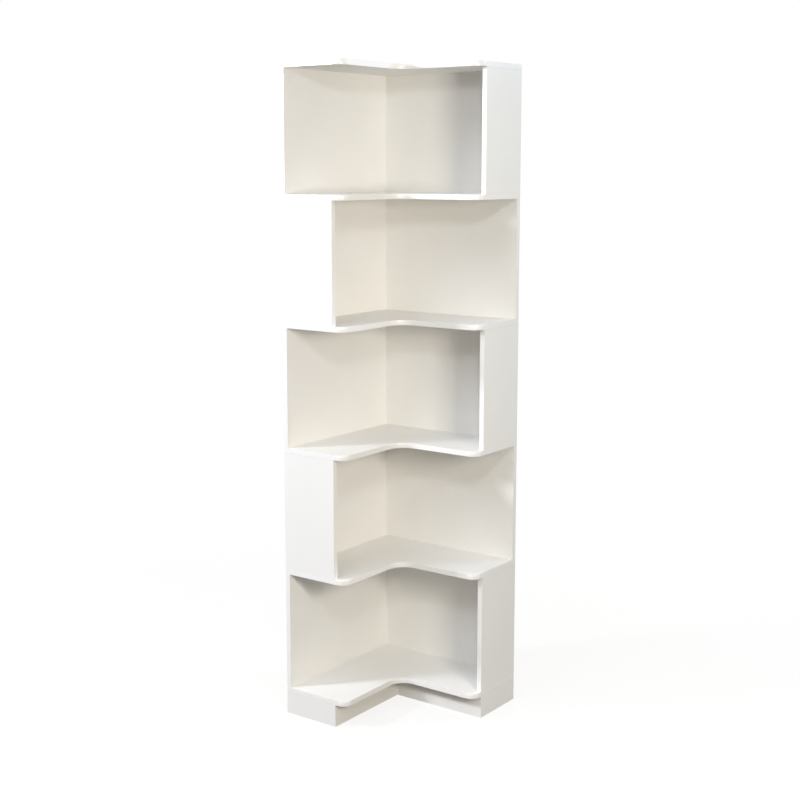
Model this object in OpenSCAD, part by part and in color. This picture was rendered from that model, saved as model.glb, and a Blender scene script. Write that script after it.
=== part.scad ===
// L-shaped corner bookcase: five open tiers between six L-shaped boards, on a recessed plinth.
// The outer back corner is at -X +Y. The left wing runs along the -X wall, the right wing along the +Y wall.

/* [Overall] */
// Length of each wing along its wall, from the outer back corner
wing_length = 515; // [460:5:700]
// Free height between one L-shaped board and the next
clear_height = 367; // [250:1:420]

/* [Boards] */
// Thickness of every board and panel
board_thickness = 16; // [16:1:19]
// Depth of the L-shaped boards, from the wall to the front edge
shelf_depth = 232; // [205:1:300]
// Radius of the two rounded front corners
corner_radius = 30; // [10:1:60]
// Radius of the hollow round at the inside of the L
inner_radius = 55; // [20:1:90]
// Thickness of the glued edge band
edge_band = 1; // [0.8:0.1:2]

/* [End panels] */
// Depth of the end panels and the plinth, from the wall to the front
panel_depth = 193; // [180:1:200]

/* [Plinth] */
// Height of the plinth boards
plinth_height = 69; // [60:1:120]

/* [Fittings] */
// Diameter of the cam lock housings
cam_diameter = 15; // [12:1:15]
// Distance from a panel's edge to the centre of its cam lock
cam_distance = 24; // [24:1:34]
// Diameter of the wooden dowels
dowel_diameter = 8; // [6:1:8]
// Diameter of the screw hole in each wall bracket
wall_hole_diameter = 5.5; // [4.5:0.5:6.5]

/* [Hidden] */
$fn = 48;
tier_count = 5;
level_count = tier_count + 1;
half = wing_length / 2;
pitch = clear_height + board_thickness;
mid = board_thickness / 2;
eps = 0.5;
white = "#f4f3ef";
band_white = "#fafaf8";
zinc = "#a9abae";
steel = "#c3c6ca";
beech = "#d9b98a";

// Drilling
fit_gap = 0.1;
cam_bore_depth = 12.5;
cam_recess = 0.3;
bolt_bore = 8;
bolt_shank = 7;
bolt_thread = 5;
bolt_thread_length = 11;
bolt_head = 7;
bolt_neck = 4.5;
bolt_head_half = 2;
bolt_neck_length = 4;
dowel_length = 30;
dowel_in_face = 10;
dowel_spare = 1;
cap_diameter = 17;
cap_rim = 0.8;

// Distances along a wing from the outer back corner, for the fittings in the back panels
bolt_along = [76, wing_length - 76];
upper_dowel_along = [108, wing_length - 108];
lower_dowel_along = [140, wing_length - 140];
// Distances from the wall, for the fittings in the end panels
end_bolt_out = [45, panel_depth - 35];
end_dowel_out = [77, panel_depth - 67];
// Heights above the shelf, for the joints between upright panels
joint_heights = [90, clear_height - 90];

// Corner screws
screw_length = 50;
screw_shank = 7;
screw_thread = 6;
screw_head = 10;
screw_head_depth = 3;
screw_shank_length = 15;

// Plinth
plinth_dowel_heights = [20, plinth_height - 20];
angle_width = 18;
angle_leg = 25;
angle_gauge = 2;
angle_hole = 4.4;
angle_screw = 4;
angle_screw_length = 13;
angle_screw_head = 8;
angle_screw_head_height = 2;
angle_along = [120, 400];

// Wall brackets
wall_leg_flat = 34;
wall_leg_upright = 22;
wall_bracket_width = 24;
wall_bracket_along = 270;
wall_hole_height = 13;
wall_screw_out = [14, 26];
wall_screw_hole = 4.4;

function level_z(level) = plinth_height + (level - 1) * pitch;
function top_z(level) = level_z(level) + board_thickness;
function end_side(tier) = tier % 2 == 1 ? "right" : "left";
function other_side(side) = side == "left" ? "right" : "left";

tiers = [1 : tier_count];
TIER_NODES = [for (tier = tiers) each [
    str("left_back_panel_", tier),
    str("right_back_panel_", tier),
    str(end_side(tier), "_end_panel_", tier),
    str("end_panel_band_", tier),
    str("back_panel_band_", tier)]];
SHELF_NAMES = ["bottom_shelf", "shelf_2", "shelf_3", "shelf_4", "shelf_5", "top_board"];
SHELF_NODES = [for (name = SHELF_NAMES) each [name, str(name, "_edge_band")]];

// Places children in one wing. Both wings are drawn as the left one, and the right one is its mirror
// image in the diagonal through the outer back corner.
module wing(side) {
    if (side == "left") children();
    else mirror([1, 1, 0]) children();
}

// Moves children to a point of the left wing: along the wing from the corner, out from the wall, up.
module at(along, out, z = 0) {
    translate([-half + out, half - along, z]) children();
}

// A box of the left wing, given by its two ends along the wing, its two distances out, and its height.
module wing_box(along, out, z, height) {
    at(along[1], out[0], z) cube([out[1] - out[0], along[1] - along[0], height]);
}

// ---- Fittings, each drawn about its own origin ----

// Pilot and clearance hole of a blind dowel, drawn along +Z from inside the face to inside the edge.
module dowel_hole() {
    translate([0, 0, -dowel_in_face - dowel_spare])
        cylinder(d = dowel_diameter, h = dowel_length + 2 * dowel_spare);
}

// A beech dowel with chamfered ends.
module dowel() {
    chamfer = 1;
    body_d = dowel_diameter - 2 * fit_gap;
    translate([0, 0, -dowel_in_face]) {
        cylinder(d1 = body_d - 2 * chamfer, d2 = body_d, h = chamfer);
        translate([0, 0, chamfer]) cylinder(d = body_d, h = dowel_length - 2 * chamfer);
        translate([0, 0, dowel_length - chamfer])
            cylinder(d1 = body_d, d2 = body_d - 2 * chamfer, h = chamfer);
    }
}

// The half of a connecting bolt that stands in a panel's edge, drawn along +Z from the shelf's face.
module bolt_end() {
    neck_z = cam_distance - bolt_head_half - bolt_neck_length;
    cylinder(d = bolt_shank, h = neck_z);
    translate([0, 0, neck_z]) cylinder(d = bolt_neck, h = bolt_neck_length);
    translate([0, 0, neck_z + bolt_neck_length]) cylinder(d = bolt_head, h = 2 * bolt_head_half);
}

// A single bolt, screwed into the shelf's face at the origin.
module cam_bolt() {
    translate([0, 0, -bolt_thread_length]) cylinder(d = bolt_thread - 2 * fit_gap, h = bolt_thread_length);
    bolt_end();
}

// A bolt that passes through a shelf, whose lower face is at the origin.
module double_ended_bolt() {
    cylinder(d = bolt_shank, h = board_thickness);
    translate([0, 0, board_thickness]) bolt_end();
    mirror([0, 0, 1]) bolt_end();
}

// Everything drilled in a panel for one cam lock: the bore from the +X face towards -X, and the hole
// from the panel's edge, which lies below the cam at -Z.
module cam_drilling(face) {
    translate([face - cam_bore_depth, 0, 0])
        rotate([0, 90, 0]) cylinder(d = cam_diameter, h = cam_bore_depth + eps);
    translate([face - mid, 0, -cam_distance - eps]) cylinder(d = bolt_bore, h = cam_distance + eps);
}

// A cam lock housing. Its slotted face looks along +X, and the bolt comes in from -Z.
module cam_lock(face) {
    body_h = cam_bore_depth - cam_recess - fit_gap;
    slot = bolt_bore + 2 * fit_gap;
    drive_length = 8;
    drive_width = 1.4;
    drive_depth = 2.4;
    translate([face - cam_bore_depth + fit_gap, 0, 0]) difference() {
        rotate([0, 90, 0]) cylinder(d = cam_diameter - 2 * fit_gap, h = body_h);
        translate([-eps, -slot / 2, -cam_diameter])
            cube([cam_bore_depth - mid + slot / 2 + eps, slot, cam_diameter + bolt_head_half + 1]);
        for (turn = [0, 90])
            rotate([turn, 0, 0]) translate([body_h - drive_depth, -drive_length / 2, -drive_width / 2])
                cube([drive_depth + eps, drive_length, drive_width]);
    }
}

// A plastic cap on a cam lock: a thin rim on the panel's face and a plug in the bore's mouth.
module cam_cap(face) {
    translate([face, 0, 0]) rotate([0, 90, 0]) cylinder(d = cap_diameter, h = cap_rim);
    translate([face - cam_recess, 0, 0]) rotate([0, 90, 0])
        cylinder(d = cam_diameter - 2, h = cam_recess);
}

// A countersunk connecting screw, its head's face at the origin, pointing to +Z.
module corner_screw() {
    recess_d = 4;
    recess_depth = 2;
    difference() {
        union() {
            cylinder(d1 = screw_head, d2 = screw_shank, h = screw_head_depth);
            translate([0, 0, screw_head_depth])
                cylinder(d = screw_shank, h = screw_shank_length - screw_head_depth);
            translate([0, 0, screw_shank_length])
                cylinder(d = screw_thread, h = screw_length - screw_shank_length);
        }
        translate([0, 0, -eps]) cylinder(d = recess_d, h = recess_depth + eps);
    }
}

module corner_screw_hole() {
    gap = 2 * fit_gap;
    translate([0, 0, -eps]) cylinder(d = screw_head + gap, h = eps);
    cylinder(d1 = screw_head + gap, d2 = screw_shank + gap, h = screw_head_depth);
    translate([0, 0, screw_head_depth]) cylinder(d = screw_shank + gap, h = screw_shank_length);
    translate([0, 0, screw_shank_length]) cylinder(d = screw_thread + gap, h = screw_length);
}

// A pan-head screw of an angle or bracket, the underside of its head at the origin, pointing to +Z.
module pan_screw() {
    slot_width = 1;
    slot_depth = 0.9;
    cylinder(d = angle_screw, h = angle_screw_length);
    difference() {
        translate([0, 0, -angle_screw_head_height])
            cylinder(d1 = angle_screw_head - 2, d2 = angle_screw_head, h = angle_screw_head_height);
        for (turn = [0, 90]) rotate([0, 0, turn])
            translate([-angle_screw_head / 2 + 1.5, -slot_width / 2, -angle_screw_head_height - eps])
                cube([angle_screw_head - 3, slot_width, slot_depth + eps]);
    }
}

module pan_screw_hole() {
    cylinder(d = angle_screw + 2 * fit_gap, h = angle_screw_length + 1);
}

// ---- Places of the fittings ----

// The bolts between the back panels and one level, both wings.
module at_back_bolts(z) {
    for (side = ["left", "right"], along = bolt_along)
        wing(side) at(along, mid, z) children();
}

// The bolts between an end panel and a level.
module at_end_bolts(side, z) {
    for (out = end_bolt_out)
        wing(side) at(wing_length - mid, out, z) children();
}

// The dowels in the lower edges of the panels of a tier.
module at_lower_dowels(tier) {
    for (side = ["left", "right"], along = upper_dowel_along)
        wing(side) at(along, mid, top_z(tier)) children();
    for (out = end_dowel_out)
        wing(end_side(tier)) at(wing_length - mid, out, top_z(tier)) children();
}

// The dowels in the upper edges of the panels of a tier, pointing down into the panels.
module at_upper_dowels(tier) {
    for (side = ["left", "right"], along = lower_dowel_along)
        wing(side) at(along, mid, level_z(tier + 1)) rotate([180, 0, 0]) children();
    for (out = end_dowel_out)
        wing(end_side(tier)) at(wing_length - mid, out, level_z(tier + 1)) rotate([180, 0, 0]) children();
}

// The dowels that join an end panel to the end of its back panel.
module at_upright_dowels(tier) {
    for (height = joint_heights)
        wing(end_side(tier)) at(wing_length - board_thickness, mid, top_z(tier) + height)
            rotate([-90, 0, 0]) children();
}

// The screws that join the right back panel to the end of the left one.
module at_corner_screws(tier) {
    for (height = joint_heights)
        translate([-half + mid, half, top_z(tier) + height]) rotate([90, 0, 0]) children();
}

// ---- L-shaped boards ----

// Plan of one wing of an L-shaped board, set in by `inset` at its front and its end.
module wing_plan(inset) {
    depth = shelf_depth - inset;
    length = wing_length - inset;
    radius = corner_radius - inset;
    translate([-half, half - length]) {
        translate([0, radius]) square([depth, length - radius]);
        square([depth - radius, length]);
        translate([depth - radius, radius]) circle(radius);
    }
}

// Plan of the whole L, with the hollow round between the wings.
module board_plan(inset) {
    depth = shelf_depth - inset;
    radius = inner_radius + inset;
    wing_plan(inset);
    mirror([1, 1, 0]) wing_plan(inset);
    translate([-half + depth, half - depth - radius]) difference() {
        square([radius, radius]);
        translate([radius, 0]) circle(radius);
    }
}

module shelf_drilling(level) {
    z = level_z(level);
    above = level <= tier_count;
    below = level > 1;
    if (above && below)
        at_back_bolts(z - eps) cylinder(d = bolt_bore, h = board_thickness + 2 * eps);
    else if (above)
        at_back_bolts(top_z(level) - bolt_thread_length)
            cylinder(d = bolt_thread, h = 2 * bolt_thread_length);
    else
        at_back_bolts(z - bolt_thread_length) cylinder(d = bolt_thread, h = 2 * bolt_thread_length);
    if (above) {
        at_end_bolts(end_side(level), top_z(level) - bolt_thread_length)
            cylinder(d = bolt_thread, h = 2 * bolt_thread_length);
        at_lower_dowels(level) dowel_hole();
    }
    if (below) {
        at_end_bolts(end_side(level - 1), z - bolt_thread_length)
            cylinder(d = bolt_thread, h = 2 * bolt_thread_length);
        at_upper_dowels(level - 1) dowel_hole();
    }
    if (level == 1) at_plinth_angles() angle_shelf_hole();
    if (level == level_count) at_wall_brackets() wall_bracket_shelf_holes();
}

module shelf_board(level) {
    color(white) difference() {
        translate([0, 0, level_z(level)]) linear_extrude(board_thickness) board_plan(edge_band);
        shelf_drilling(level);
    }
}

module shelf_edge_band(level) {
    color(band_white) translate([0, 0, level_z(level)]) linear_extrude(board_thickness) difference() {
        board_plan(0);
        board_plan(edge_band);
    }
}

// ---- Upright panels ----

// Where the back panel of a wing starts and stops along the wing.
function back_start(side) = side == "left" ? board_thickness : 0;
function back_stop(side, tier) = wing_length - (side == end_side(tier) ? board_thickness : edge_band);

// All the cam drillings of a tier: bores open at the wall side of the back panels and at the inner
// side of the end panels.
module at_back_cams(tier) {
    for (side = ["left", "right"], along = bolt_along, upper = [false, true])
        wing(side) at(along, 0, upper ? level_z(tier + 1) - cam_distance : top_z(tier) + cam_distance)
            mirror([1, 0, 0]) mirror([0, 0, upper ? 1 : 0]) children();
}

module at_end_cams(tier) {
    for (out = end_bolt_out, upper = [false, true])
        wing(end_side(tier))
            at(wing_length - board_thickness, out,
               upper ? level_z(tier + 1) - cam_distance : top_z(tier) + cam_distance)
                rotate([0, 0, 90]) mirror([0, 0, upper ? 1 : 0]) children();
}

module tier_drilling(tier) {
    at_back_cams(tier) cam_drilling(0);
    at_end_cams(tier) cam_drilling(0);
    at_lower_dowels(tier) dowel_hole();
    at_upper_dowels(tier) dowel_hole();
    at_upright_dowels(tier) dowel_hole();
    at_corner_screws(tier) corner_screw_hole();
}

module back_panel(side, tier) {
    color(white) difference() {
        wing(side) wing_box([back_start(side), back_stop(side, tier)], [0, board_thickness],
                            top_z(tier), clear_height);
        tier_drilling(tier);
    }
}

module end_panel(tier) {
    color(white) difference() {
        wing(end_side(tier)) wing_box([wing_length - board_thickness, wing_length],
                                      [0, panel_depth - edge_band], top_z(tier), clear_height);
        tier_drilling(tier);
    }
}

module end_panel_band(tier) {
    color(band_white) wing(end_side(tier))
        wing_box([wing_length - board_thickness, wing_length], [panel_depth - edge_band, panel_depth],
                 top_z(tier), clear_height);
}

// The band on the back panel whose end is open to view.
module back_panel_band(tier) {
    color(band_white) wing(other_side(end_side(tier)))
        wing_box([wing_length - edge_band, wing_length], [0, board_thickness], top_z(tier), clear_height);
}

// ---- Plinth ----

inner_face = panel_depth - board_thickness;

module plinth_board(along, out, side = "left") {
    color(white) difference() {
        wing(side) wing_box(along, out, 0, plinth_height);
        at_plinth_dowels() dowel_hole();
        at_plinth_angles() angle_plinth_hole();
    }
}

// Each dowel runs from the face of one plinth board into the end of the next one.
module at_plinth_dowels() {
    for (z = plinth_dowel_heights) {
        for (side = ["left", "right"], out = [mid, panel_depth - mid])
            wing(side) at(wing_length - board_thickness, out, z) rotate([-90, 0, 0]) children();
        translate([-half + mid, half - board_thickness, z]) rotate([90, 0, 0]) children();
        translate([-half + board_thickness, half - panel_depth + mid, z]) rotate([0, 90, 0]) children();
        translate([-half + panel_depth - mid, half - panel_depth, z]) rotate([90, 0, 0]) children();
        translate([-half + panel_depth - mid, half - board_thickness, z]) rotate([90, 0, 0]) children();
    }
    translate([-half + panel_depth - mid, half - inner_face, plinth_height / 2])
        rotate([-90, 0, 0]) children();
}

// Steel angles in the inner top corners of the plinth: along the rear boards and behind the end boards.
module at_plinth_angles() {
    for (side = ["left", "right"], along = angle_along)
        wing(side) at(along, board_thickness, plinth_height) children();
    for (side = ["left", "right"])
        wing(side) at(wing_length - board_thickness, panel_depth / 2, plinth_height)
            rotate([0, 0, 90]) children();
}

// One angle: its upright leg stands against the board at -X, its other leg under the shelf.
module plinth_angle() {
    leg_middle = (angle_leg + angle_gauge) / 2;
    difference() {
        translate([0, -angle_width / 2, -angle_leg]) difference() {
            cube([angle_leg, angle_width, angle_leg]);
            translate([angle_gauge, -eps, -eps])
                cube([angle_leg, angle_width + 2 * eps, angle_leg - angle_gauge + eps]);
        }
        translate([leg_middle, 0, -angle_leg]) cylinder(d = angle_hole, h = angle_leg + eps);
        translate([-eps, 0, -leg_middle]) rotate([0, 90, 0]) cylinder(d = angle_hole, h = angle_leg);
    }
}

module at_angle_shelf_screw() {
    translate([(angle_leg + angle_gauge) / 2, 0, -angle_gauge]) children();
}

module at_angle_plinth_screw() {
    translate([angle_gauge, 0, -(angle_leg + angle_gauge) / 2]) rotate([0, -90, 0]) children();
}

module angle_shelf_hole() { at_angle_shelf_screw() pan_screw_hole(); }

module angle_plinth_hole() { at_angle_plinth_screw() pan_screw_hole(); }

// ---- Wall brackets ----

module at_wall_bracket(side) {
    wing(side) at(wall_bracket_along, 0, top_z(level_count)) children();
}

module at_wall_brackets() {
    at_wall_bracket("left") children();
    at_wall_bracket("right") children();
}

module wall_bracket(side) {
    color(steel) at_wall_bracket(side) difference() {
        union() {
            translate([0, -wall_bracket_width / 2, 0])
                cube([wall_leg_flat, wall_bracket_width, angle_gauge]);
            translate([0, -wall_bracket_width / 2, 0])
                cube([angle_gauge, wall_bracket_width, wall_leg_upright]);
        }
        for (out = wall_screw_out)
            translate([out, 0, -eps]) cylinder(d = wall_screw_hole, h = angle_gauge + 2 * eps);
        translate([-eps, 0, wall_hole_height]) rotate([0, 90, 0])
            cylinder(d = wall_hole_diameter, h = angle_gauge + 2 * eps);
    }
}

module at_wall_bracket_screws() {
    for (out = wall_screw_out)
        translate([out, 0, angle_gauge]) rotate([180, 0, 0]) children();
}

module wall_bracket_shelf_holes() { at_wall_bracket_screws() pan_screw_hole(); }

// ---- Groups of identical fittings ----

module double_ended_bolts() {
    color(steel) for (level = [2 : tier_count])
        at_back_bolts(level_z(level)) double_ended_bolt();
}

module cam_bolts() {
    color(steel) {
        at_back_bolts(top_z(1)) cam_bolt();
        at_back_bolts(level_z(level_count)) mirror([0, 0, 1]) cam_bolt();
        for (tier = tiers) {
            at_end_bolts(end_side(tier), top_z(tier)) cam_bolt();
            at_end_bolts(end_side(tier), level_z(tier + 1)) mirror([0, 0, 1]) cam_bolt();
        }
    }
}

module back_cam_locks() {
    color(zinc) for (tier = tiers) at_back_cams(tier) cam_lock(0);
}

module end_cam_locks() {
    color(zinc) for (tier = tiers) at_end_cams(tier) cam_lock(0);
}

module cam_cover_caps() {
    color(band_white) for (tier = tiers) at_end_cams(tier) cam_cap(0);
}

module shelf_dowels() {
    color(beech) for (tier = tiers) {
        at_lower_dowels(tier) dowel();
        at_upper_dowels(tier) dowel();
    }
}

module upright_dowels() {
    color(beech) for (tier = tiers) at_upright_dowels(tier) dowel();
}

module plinth_dowels() {
    color(beech) at_plinth_dowels() dowel();
}

module corner_screws() {
    color(steel) for (tier = tiers) at_corner_screws(tier) corner_screw();
}

module plinth_angles() {
    color(steel) at_plinth_angles() plinth_angle();
}

module plinth_angle_screws() {
    color(steel) at_plinth_angles() {
        at_angle_shelf_screw() pan_screw();
        at_angle_plinth_screw() pan_screw();
    }
}

module wall_bracket_screws() {
    color(steel) at_wall_brackets() at_wall_bracket_screws() pan_screw();
}

// ---- Nodes ----

for (level = [1 : level_count]) {
    name = SHELF_NAMES[level - 1];
    shelf_board(level);
    shelf_edge_band(level);
}
for (tier = tiers) {
    back_panel("left", tier);
    back_panel("right", tier);
    end_panel(tier);
    end_panel_band(tier);
    back_panel_band(tier);
}
plinth_board([wing_length - board_thickness, wing_length], [0, panel_depth]);  // plinth_left_end
plinth_board([wing_length - board_thickness, wing_length], [0, panel_depth], "right");  // plinth_right_end
plinth_board([panel_depth, wing_length - board_thickness], [inner_face, panel_depth]);  // plinth_left_front
plinth_board([board_thickness, wing_length - board_thickness], [inner_face, panel_depth], "right");  // plinth_right_front
plinth_board([board_thickness, wing_length - board_thickness], [0, board_thickness]);  // plinth_left_rear
plinth_board([0, wing_length - board_thickness], [0, board_thickness], "right");  // plinth_right_rear
plinth_board([board_thickness, inner_face], [inner_face, panel_depth]);  // plinth_cross_rail
double_ended_bolts();
cam_bolts();
back_cam_locks();
end_cam_locks();
cam_cover_caps();
shelf_dowels();
upright_dowels();
plinth_dowels();
corner_screws();
plinth_angles();
plinth_angle_screws();
wall_bracket("left");  // left_wall_bracket
wall_bracket("right");  // right_wall_bracket
wall_bracket_screws();
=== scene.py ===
"""The corner bookcase in a white studio.

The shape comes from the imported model. This script adds materials, eased edges, lights and the camera.
"""

import math

import bmesh
import bpy
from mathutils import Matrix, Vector


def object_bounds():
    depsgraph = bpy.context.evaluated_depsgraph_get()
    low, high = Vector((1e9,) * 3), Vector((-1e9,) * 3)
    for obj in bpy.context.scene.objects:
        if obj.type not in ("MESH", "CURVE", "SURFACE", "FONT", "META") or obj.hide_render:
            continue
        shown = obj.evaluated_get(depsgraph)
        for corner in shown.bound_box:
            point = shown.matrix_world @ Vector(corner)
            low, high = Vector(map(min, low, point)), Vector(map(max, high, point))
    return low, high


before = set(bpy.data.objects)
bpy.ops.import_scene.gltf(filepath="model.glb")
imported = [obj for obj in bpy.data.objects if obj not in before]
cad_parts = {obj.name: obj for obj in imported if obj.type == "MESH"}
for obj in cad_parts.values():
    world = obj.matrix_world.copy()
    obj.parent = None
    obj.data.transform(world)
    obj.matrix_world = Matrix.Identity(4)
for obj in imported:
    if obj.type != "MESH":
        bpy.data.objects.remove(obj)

CAD_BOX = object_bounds()

# The camera stands in front of the open corner, in metres and degrees. Azimuth turns from -Y towards +X.
CAMERA_AT = (2.441, -3.342, 1.696)
CAMERA_AZIMUTH = 36.23
CAMERA_PITCH = 9.03
CAMERA_LENS = 61.4
CAMERA_SHIFT = -0.02

# Melamine laminate, its edge band, and the particle board under them.
LAMINATE_LIGHT = (0.872, 0.864, 0.842, 1)
LAMINATE_DARK = (0.848, 0.838, 0.812, 1)
BAND_LIGHT = (0.892, 0.886, 0.872, 1)
BAND_DARK = (0.860, 0.852, 0.834, 1)
CHIP_COLOURS = ((0.30, 0.19, 0.10, 1), (0.52, 0.36, 0.20, 1), (0.70, 0.54, 0.34, 1))
CAP_LIGHT = (0.880, 0.876, 0.862, 1)
CAP_DARK = (0.850, 0.845, 0.830, 1)
BEECH_COLOURS = ((0.46, 0.28, 0.14, 1), (0.63, 0.43, 0.25, 1), (0.74, 0.56, 0.36, 1))
FLOOR_LIGHT = (0.92, 0.895, 0.86, 1)
FLOOR_DARK = (0.90, 0.875, 0.84, 1)

# Specular IOR Level of the two plastics. 0.5 leaves their IOR as it is.
LAMINATE_SPECULAR = 0.45
BAND_SPECULAR = 0.5

# The part of a noise texture's 0 to 1 that a look reads. Broad clouds read a narrower part.
NOISE_RANGE = (0.3, 0.7)
CLOUD_RANGE = (0.35, 0.65)

# Where the first colour of a ramp lies, and how far from it the last one is.
RAMP_START = 0.15
RAMP_SPAN = 0.7

# Widths of the eased edges, in metres.
BOARD_EASE = 0.0005
BAND_EASE = 0.00045
METAL_EASE = 0.00025

# Mesh corners closer than this are joined, in metres. Edges sharper than this are eased, in degrees.
SAME_CORNER = 1e-6
SHARP_EDGE = 50

# Softboxes stand this far from the upright axis of the frame, in metres.
STAND_DISTANCE = 3.0

# Name, azimuth in degrees, height and side in metres, power in watts, and tint.
SOFTBOXES = (
    ("left_softbox", -42, 2.2, 0.4, 72, (0.85, 0.90, 1.0)),
    ("front_softbox", 38, 2.5, 0.3, 17, (0.87, 0.92, 1.0)),
    ("right_softbox", 58, 1.6, 0.6, 48, (1.0, 0.935, 0.82)),
    ("rim_softbox", 140, 2.8, 1.0, 38, (0.58, 0.78, 1.0)),
    ("back_softbox", 205, 2.2, 1.0, 24, (1.0, 0.98, 0.96)),
)

FLOOR_SIDES = 96

# The white room fades in where the upward part of a direction goes from minus this to plus this.
HORIZON = 0.1

UP, ALONG_X, ALONG_Y = (0, 0, 1), (1, 0, 0), (0, 1, 0)


def set_limits(map_range, from_low, from_high, low, high):
    """Sets the range a Map Range node reads and the range it gives."""
    for socket, value in (("From Min", from_low), ("From Max", from_high),
                          ("To Min", low), ("To Max", high)):
        map_range.inputs[socket].default_value = value


class Look:
    """A node material round one Principled shader. Its textures are placed in metres of the object."""

    def __init__(self, name):
        self.material = bpy.data.materials.new(name)
        self.material.use_nodes = True
        self.tree = self.material.node_tree
        self.tree.nodes.clear()
        self.shader = self.add("BsdfPrincipled")
        self.link(self.shader.outputs["BSDF"], self.add("OutputMaterial").inputs["Surface"])
        self.place = self.add("TexCoord").outputs["Object"]

    def add(self, kind, **settings):
        made = self.tree.nodes.new("ShaderNode" + kind)
        for name, value in settings.items():
            setattr(made, name, value)
        return made

    def link(self, source, target):
        self.tree.links.new(source, target)

    def feed(self, value, target):
        """Gives a socket another socket's output, or a fixed value."""
        if isinstance(value, bpy.types.NodeSocket):
            self.link(value, target)
        else:
            target.default_value = value

    def set(self, socket, value):
        self.feed(value, self.shader.inputs[socket])

    def stretched(self, scale):
        mapping = self.add("Mapping")
        mapping.inputs["Scale"].default_value = scale
        self.link(self.place, mapping.inputs["Vector"])
        return mapping.outputs["Vector"]

    def noise(self, per_metre, detail=2.0, stretch=None, roughness=0.5):
        noise = self.add("TexNoise")
        noise.inputs["Scale"].default_value = per_metre
        noise.inputs["Detail"].default_value = detail
        noise.inputs["Roughness"].default_value = roughness
        self.link(self.stretched(stretch) if stretch else self.place, noise.inputs["Vector"])
        return noise.outputs["Fac"]

    def cells(self, per_metre, stretch=None, feature="F1"):
        cells = self.add("TexVoronoi", feature=feature)
        cells.inputs["Scale"].default_value = per_metre
        self.link(self.stretched(stretch) if stretch else self.place, cells.inputs["Vector"])
        return cells

    def spread(self, source, from_low, from_high, low, high):
        spread = self.add("MapRange")
        set_limits(spread, from_low, from_high, low, high)
        self.link(source, spread.inputs["Value"])
        return spread.outputs["Result"]

    def sum(self, first, second, operation="ADD"):
        math_node = self.add("Math", operation=operation)
        for socket, value in zip(math_node.inputs, (first, second)):
            self.feed(value, socket)
        return math_node.outputs[0]

    def mix(self, factor, first, second, kind="RGBA"):
        mix = self.add("Mix", data_type=kind)
        ends = [s for s in mix.inputs if s.enabled and s.name in ("A", "B")]
        self.link(factor, next(s for s in mix.inputs if s.enabled and s.name == "Factor"))
        for socket, value in zip(ends, (first, second)):
            self.feed(value, socket)
        return next(s for s in mix.outputs if s.enabled)

    def ramp(self, factor, colours):
        ramp = self.add("ValToRGB")
        stops = ramp.color_ramp.elements
        while len(stops) < len(colours):
            stops.new(0.5)
        for i, colour in enumerate(colours):
            stops[i].position = RAMP_START + RAMP_SPAN * i / (len(colours) - 1)
            stops[i].color = colour
        self.link(factor, ramp.inputs["Fac"])
        return ramp.outputs["Color"]

    def relief(self, height, metres):
        bump = self.add("Bump")
        bump.inputs["Strength"].default_value = 1.0
        bump.inputs["Distance"].default_value = metres
        self.link(height, bump.inputs["Height"])
        self.link(bump.outputs["Normal"], self.shader.inputs["Normal"])

    def facing(self, axis):
        """1 on the faces that look along the axis either way, and 0 on the others."""
        dot = self.add("VectorMath", operation="DOT_PRODUCT")
        self.link(self.add("NewGeometry").outputs["True Normal"], dot.inputs[0])
        dot.inputs[1].default_value = axis
        return self.sum(self.sum(dot.outputs["Value"], 0, "ABSOLUTE"), 0.5, "GREATER_THAN")


def laminate(look):
    """Colour, roughness and relief of white melamine.

    The print has a faint cloud, and the surface a pearl grain and handling marks.
    """
    cloud = look.noise(per_metre=5, detail=3)
    grain = look.noise(per_metre=420, detail=2)
    tone = look.sum(look.spread(cloud, *CLOUD_RANGE, 0.0, 0.75),
                    look.spread(grain, *NOISE_RANGE, 0.0, 0.25))
    colour = look.mix(tone, LAMINATE_DARK, LAMINATE_LIGHT)
    marks = look.spread(look.noise(per_metre=14, detail=4, roughness=0.65), 0.52, 0.7, 0.0, 0.08)
    rough = look.sum(look.spread(grain, *NOISE_RANGE, 0.36, 0.44), marks)
    pearl = look.spread(look.cells(650, feature="SMOOTH_F1").outputs["Distance"], 0.0, 0.8, 0.0, 0.7)
    return colour, rough, look.sum(pearl, look.spread(grain, *NOISE_RANGE, 0.0, 0.3))


def chipboard(look, thin_axis):
    """Colour, roughness and relief of sawn particle board, its chips lying flat in the board."""
    stretch = tuple(2.6 if part else 1.0 for part in thin_axis)
    chips = look.cells(per_metre=210, stretch=stretch)
    fines = look.noise(per_metre=900, detail=3, stretch=stretch)
    colour = look.ramp(look.sum(look.spread(chips.outputs["Color"], 0, 1, 0.0, 0.75),
                                look.spread(fines, *NOISE_RANGE, 0.0, 0.25)), CHIP_COLOURS)
    height = look.sum(look.spread(chips.outputs["Distance"], 0, 0.7, 1.0, 0.0), fines, "MULTIPLY")
    return colour, look.spread(fines, *NOISE_RANGE, 0.78, 0.94), height


def board_look(name, raw_where, thin_axis):
    """Laminated board whose sawn edges show where raw_where says: 'edges' or 'ends'."""
    look = Look(name)
    white = laminate(look)
    core = chipboard(look, thin_axis)
    raw = look.facing(thin_axis)
    if raw_where == "edges":
        raw = look.sum(1.0, raw, "SUBTRACT")
    look.set("Base Color", look.mix(raw, white[0], core[0]))
    look.set("Roughness", look.mix(raw, white[1], core[1], "FLOAT"))
    look.relief(look.mix(raw, look.sum(white[2], 0.12, "MULTIPLY"), core[2], "FLOAT"), 0.00025)
    look.set("Specular IOR Level", LAMINATE_SPECULAR)
    return look.material


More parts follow.
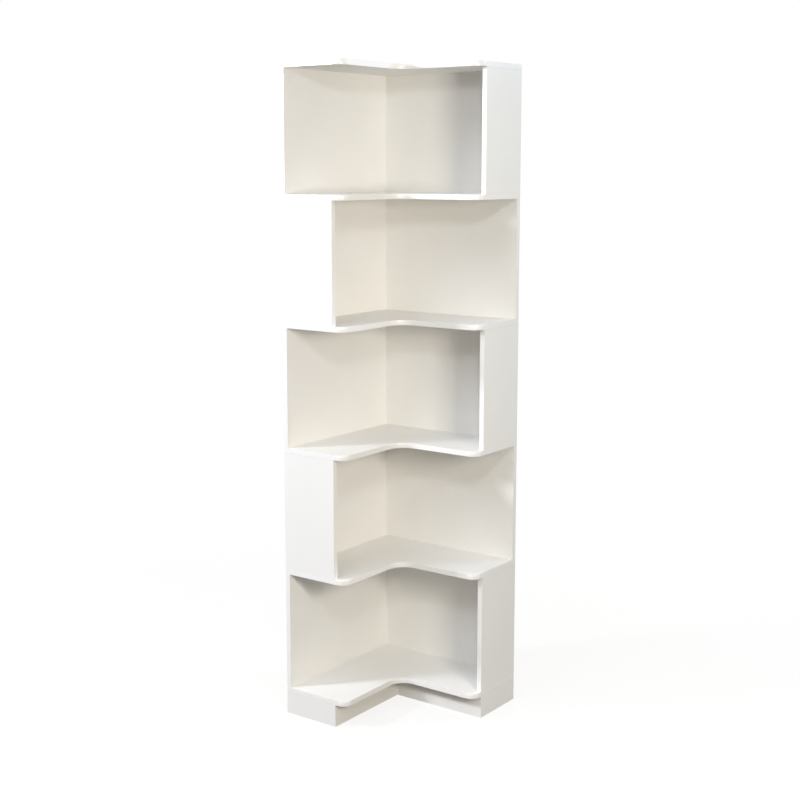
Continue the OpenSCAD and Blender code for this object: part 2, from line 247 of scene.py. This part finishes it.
def band_look(name, stretch):
    """Glued plastic edge band, with fine drawing lines along its length."""
    look = Look(name)
    lines = look.noise(per_metre=60, detail=3, stretch=stretch)
    cloud = look.noise(per_metre=9, detail=2)
    tone = look.sum(look.spread(cloud, *CLOUD_RANGE, 0, 0.6), look.spread(lines, *NOISE_RANGE, 0, 0.4))
    look.set("Base Color", look.mix(tone, BAND_DARK, BAND_LIGHT))
    look.set("Roughness", look.spread(lines, *NOISE_RANGE, 0.26, 0.36))
    look.relief(lines, 0.00002)
    look.set("Specular IOR Level", BAND_SPECULAR)
    return look.material


def metal_look(name, dark, light, smooth, rough, per_metre, stretch=None, relief=0.00003):
    """Bare metal with a grain and a slower cloud in it, from dark to light and from smooth to rough."""
    look = Look(name)
    grain = look.noise(per_metre, detail=4, stretch=stretch)
    cloud = look.noise(per_metre=120, detail=2)
    tone = look.sum(look.spread(cloud, *NOISE_RANGE, 0, 0.5), look.spread(grain, *NOISE_RANGE, 0, 0.5))
    look.set("Base Color", look.mix(tone, dark, light))
    look.set("Roughness", look.spread(grain, *NOISE_RANGE, smooth, rough))
    look.set("Metallic", 1.0)
    look.relief(grain, relief)
    return look.material


def beech_look():
    """Turned beech dowels, with rings and flecks drawn out along the upright."""
    look = Look("turned_beech")
    rings = look.noise(per_metre=160, detail=3, stretch=(1.0, 1.0, 0.2))
    flecks = look.cells(per_metre=700, stretch=(1.0, 1.0, 0.25)).outputs["Distance"]
    tone = look.sum(look.spread(rings, *NOISE_RANGE, 0, 0.7), look.spread(flecks, 0, 0.6, 0, 0.3))
    look.set("Base Color", look.ramp(tone, BEECH_COLOURS))
    look.set("Roughness", look.spread(rings, *NOISE_RANGE, 0.5, 0.68))
    look.relief(flecks, 0.00008)
    return look.material


def cap_look():
    """Moulded plastic of the cover caps, with a fine spark-eroded grain."""
    look = Look("cap_plastic")
    grain = look.noise(per_metre=1400, detail=2)
    cloud = look.noise(per_metre=60, detail=2)
    tone = look.sum(look.spread(grain, *NOISE_RANGE, 0, 0.4), look.spread(cloud, *NOISE_RANGE, 0, 0.6))
    look.set("Base Color", look.mix(tone, CAP_DARK, CAP_LIGHT))
    look.set("Roughness", look.spread(grain, *NOISE_RANGE, 0.3, 0.42))
    look.relief(grain, 0.00002)
    return look.material


# A raw edge is any face across the board's thin axis. Plinth boards are banded all round but underneath.
BOARDS = {
    "shelf": board_look("laminated_board_flat", "edges", UP),
    "panel_x": board_look("laminated_board_facing_x", "edges", ALONG_X),
    "panel_y": board_look("laminated_board_facing_y", "edges", ALONG_Y),
    "plinth": board_look("laminated_board_plinth", "ends", UP),
}
SHELF_BAND = band_look("edge_band_level", (1.0, 1.0, 40.0))
PANEL_BAND = band_look("edge_band_upright", (40.0, 40.0, 1.0))
DIE_CAST = metal_look("die_cast_zinc", dark=(0.44, 0.45, 0.46, 1), light=(0.60, 0.60, 0.61, 1),
                      smooth=0.38, rough=0.55, per_metre=900)
PLATED = metal_look("plated_steel", dark=(0.58, 0.59, 0.60, 1), light=(0.74, 0.75, 0.77, 1),
                    smooth=0.22, rough=0.36, per_metre=500, stretch=(1.0, 1.0, 8.0), relief=0.00001)
BEECH = beech_look()
CAP = cap_look()


def material_for(name):
    if name.endswith("_edge_band"):
        return SHELF_BAND
    if "_panel_band_" in name:
        return PANEL_BAND
    if name.startswith(("left_back_panel", "right_end_panel")):
        return BOARDS["panel_x"]
    if name.startswith(("right_back_panel", "left_end_panel")):
        return BOARDS["panel_y"]
    if "cam_locks" in name:
        return DIE_CAST
    if name == "cam_cover_caps":
        return CAP
    if name.endswith("dowels"):
        return BEECH
    if any(word in name for word in ("bolts", "screws", "angles", "bracket")):
        return PLATED
    return BOARDS["plinth"] if name.startswith("plinth") else BOARDS["shelf"]


def ease_edges(thing, width, steps):
    """Joins the imported mesh's split corners and rounds its sharp edges by a hair."""
    weld = thing.modifiers.new("joined", "WELD")
    weld.merge_threshold = SAME_CORNER
    ease = thing.modifiers.new("eased", "BEVEL")
    ease.width = width
    ease.segments = steps
    ease.limit_method = "ANGLE"
    ease.angle_limit = math.radians(SHARP_EDGE)
    ease.use_clamp_overlap = True
    ease.harden_normals = True


for name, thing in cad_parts.items():
    look = material_for(name)
    thing.data.materials.clear()
    thing.data.materials.append(look)
    if look in BOARDS.values():
        ease_edges(thing, BOARD_EASE, 2)
    elif look in (SHELF_BAND, PANEL_BAND):
        ease_edges(thing, BAND_EASE, 3)
    elif "bracket" in name and "screws" not in name or name == "plinth_angles":
        ease_edges(thing, METAL_EASE, 2)


def studio_floor(radius, fade_from, density):
    """A pale round floor, thin as gauze, that fades out to the white room before its rim."""
    mesh = bpy.data.meshes.new("studio_floor")
    shape = bmesh.new()
    bmesh.ops.create_circle(shape, cap_ends=True, radius=radius, segments=FLOOR_SIDES)
    shape.to_mesh(mesh)
    shape.free()
    floor = bpy.data.objects.new("studio_floor", mesh)
    bpy.context.scene.collection.objects.link(floor)
    look = Look("pale_floor")
    cloud = look.noise(per_metre=1.5, detail=3)
    look.set("Base Color", look.mix(cloud, FLOOR_DARK, FLOOR_LIGHT))
    look.set("Roughness", look.spread(cloud, *NOISE_RANGE, 0.75, 0.85))
    look.relief(look.noise(per_metre=250, detail=3), 0.00005)
    distance = look.add("VectorMath", operation="LENGTH")
    look.link(look.place, distance.inputs[0])
    fade = look.add("MapRange", interpolation_type="SMOOTHERSTEP")
    set_limits(fade, fade_from, radius, density, 0.0)
    look.link(distance.outputs["Value"], fade.inputs["Value"])
    look.set("Alpha", fade.outputs["Result"])
    mesh.materials.append(look.material)


def light_holder(name, lamp, place, aim):
    """Hangs a lamp at a place, turned towards its aim and unseen by the camera."""
    holder = bpy.data.objects.new(name, lamp)
    holder.location = place
    holder.rotation_euler = (aim - place).to_track_quat("-Z", "Y").to_euler()
    holder.visible_camera = False
    bpy.context.scene.collection.objects.link(holder)


def softbox(name, azimuth, height, size, watts, colour):
    """A square softbox on a stand, aimed at the middle of the bookcase.

    Azimuth turns from -Y towards +X.
    """
    lamp = bpy.data.lights.new(name, "AREA")
    lamp.shape = "SQUARE"
    lamp.size = size
    lamp.energy = watts
    lamp.color = colour
    a = math.radians(azimuth)
    place = Vector((math.sin(a) * STAND_DISTANCE, -math.cos(a) * STAND_DISTANCE, height))
    light_holder(name, lamp, place, (CAD_BOX[0] + CAD_BOX[1]) / 2)


def ceiling_light(azimuth, elevation, spread, strength, colour):
    """Broad even light from high up, the same on the whole floor."""
    lamp = bpy.data.lights.new("ceiling", "SUN")
    lamp.angle = math.radians(spread)
    lamp.energy = strength
    lamp.color = colour
    a, e = math.radians(azimuth), math.radians(elevation)
    out = Vector((math.sin(a) * math.cos(e), -math.cos(a) * math.cos(e), math.sin(e)))
    light_holder("ceiling", lamp, out * STAND_DISTANCE, Vector((0, 0, 0)))


def white_room(strength, colour, from_below):
    """Faint light from all round, weaker from under the floor.

    The camera sees it as plain white.
    """
    world = bpy.data.worlds.new("white_room")
    world.use_nodes = True
    nodes, links = world.node_tree.nodes, world.node_tree.links
    nodes.clear()
    output, lit, seen, choose, path, place, split, fade = (
        nodes.new("ShaderNode" + kind)
        for kind in ("OutputWorld", "Background", "Background", "MixShader", "LightPath",
                     "TexCoord", "SeparateXYZ", "MapRange"))
    set_limits(fade, -HORIZON, HORIZON, strength * from_below, strength)
    links.new(place.outputs["Generated"], split.inputs["Vector"])
    links.new(split.outputs["Z"], fade.inputs["Value"])
    links.new(fade.outputs["Result"], lit.inputs["Strength"])
    lit.inputs["Color"].default_value = (*colour, 1)
    seen.inputs["Color"].default_value = (1, 1, 1, 1)
    links.new(path.outputs["Is Camera Ray"], choose.inputs["Fac"])
    links.new(lit.outputs["Background"], choose.inputs[1])
    links.new(seen.outputs["Background"], choose.inputs[2])
    links.new(choose.outputs["Shader"], output.inputs["Surface"])
    bpy.context.scene.world = world


def camera():
    """The photo's own angle, with only as much lens shift as the other views can bear."""
    lens = bpy.data.cameras.new("camera")
    lens.lens = CAMERA_LENS
    lens.shift_y = CAMERA_SHIFT
    holder = bpy.data.objects.new("camera", lens)
    holder.location = CAMERA_AT
    holder.rotation_euler = (math.radians(90 - CAMERA_PITCH), 0, math.radians(CAMERA_AZIMUTH))
    bpy.context.scene.collection.objects.link(holder)
    bpy.context.scene.camera = holder


studio_floor(radius=2.6, fade_from=0.4, density=0.2)
for settings in SOFTBOXES:
    softbox(*settings)
ceiling_light(azimuth=0, elevation=50, spread=40, strength=0.79, colour=(0.75, 0.86, 1.0))
white_room(strength=0.43, colour=(1.0, 0.90, 0.78), from_below=0.12)
camera()
bpy.context.scene.view_settings.view_transform = "Standard"
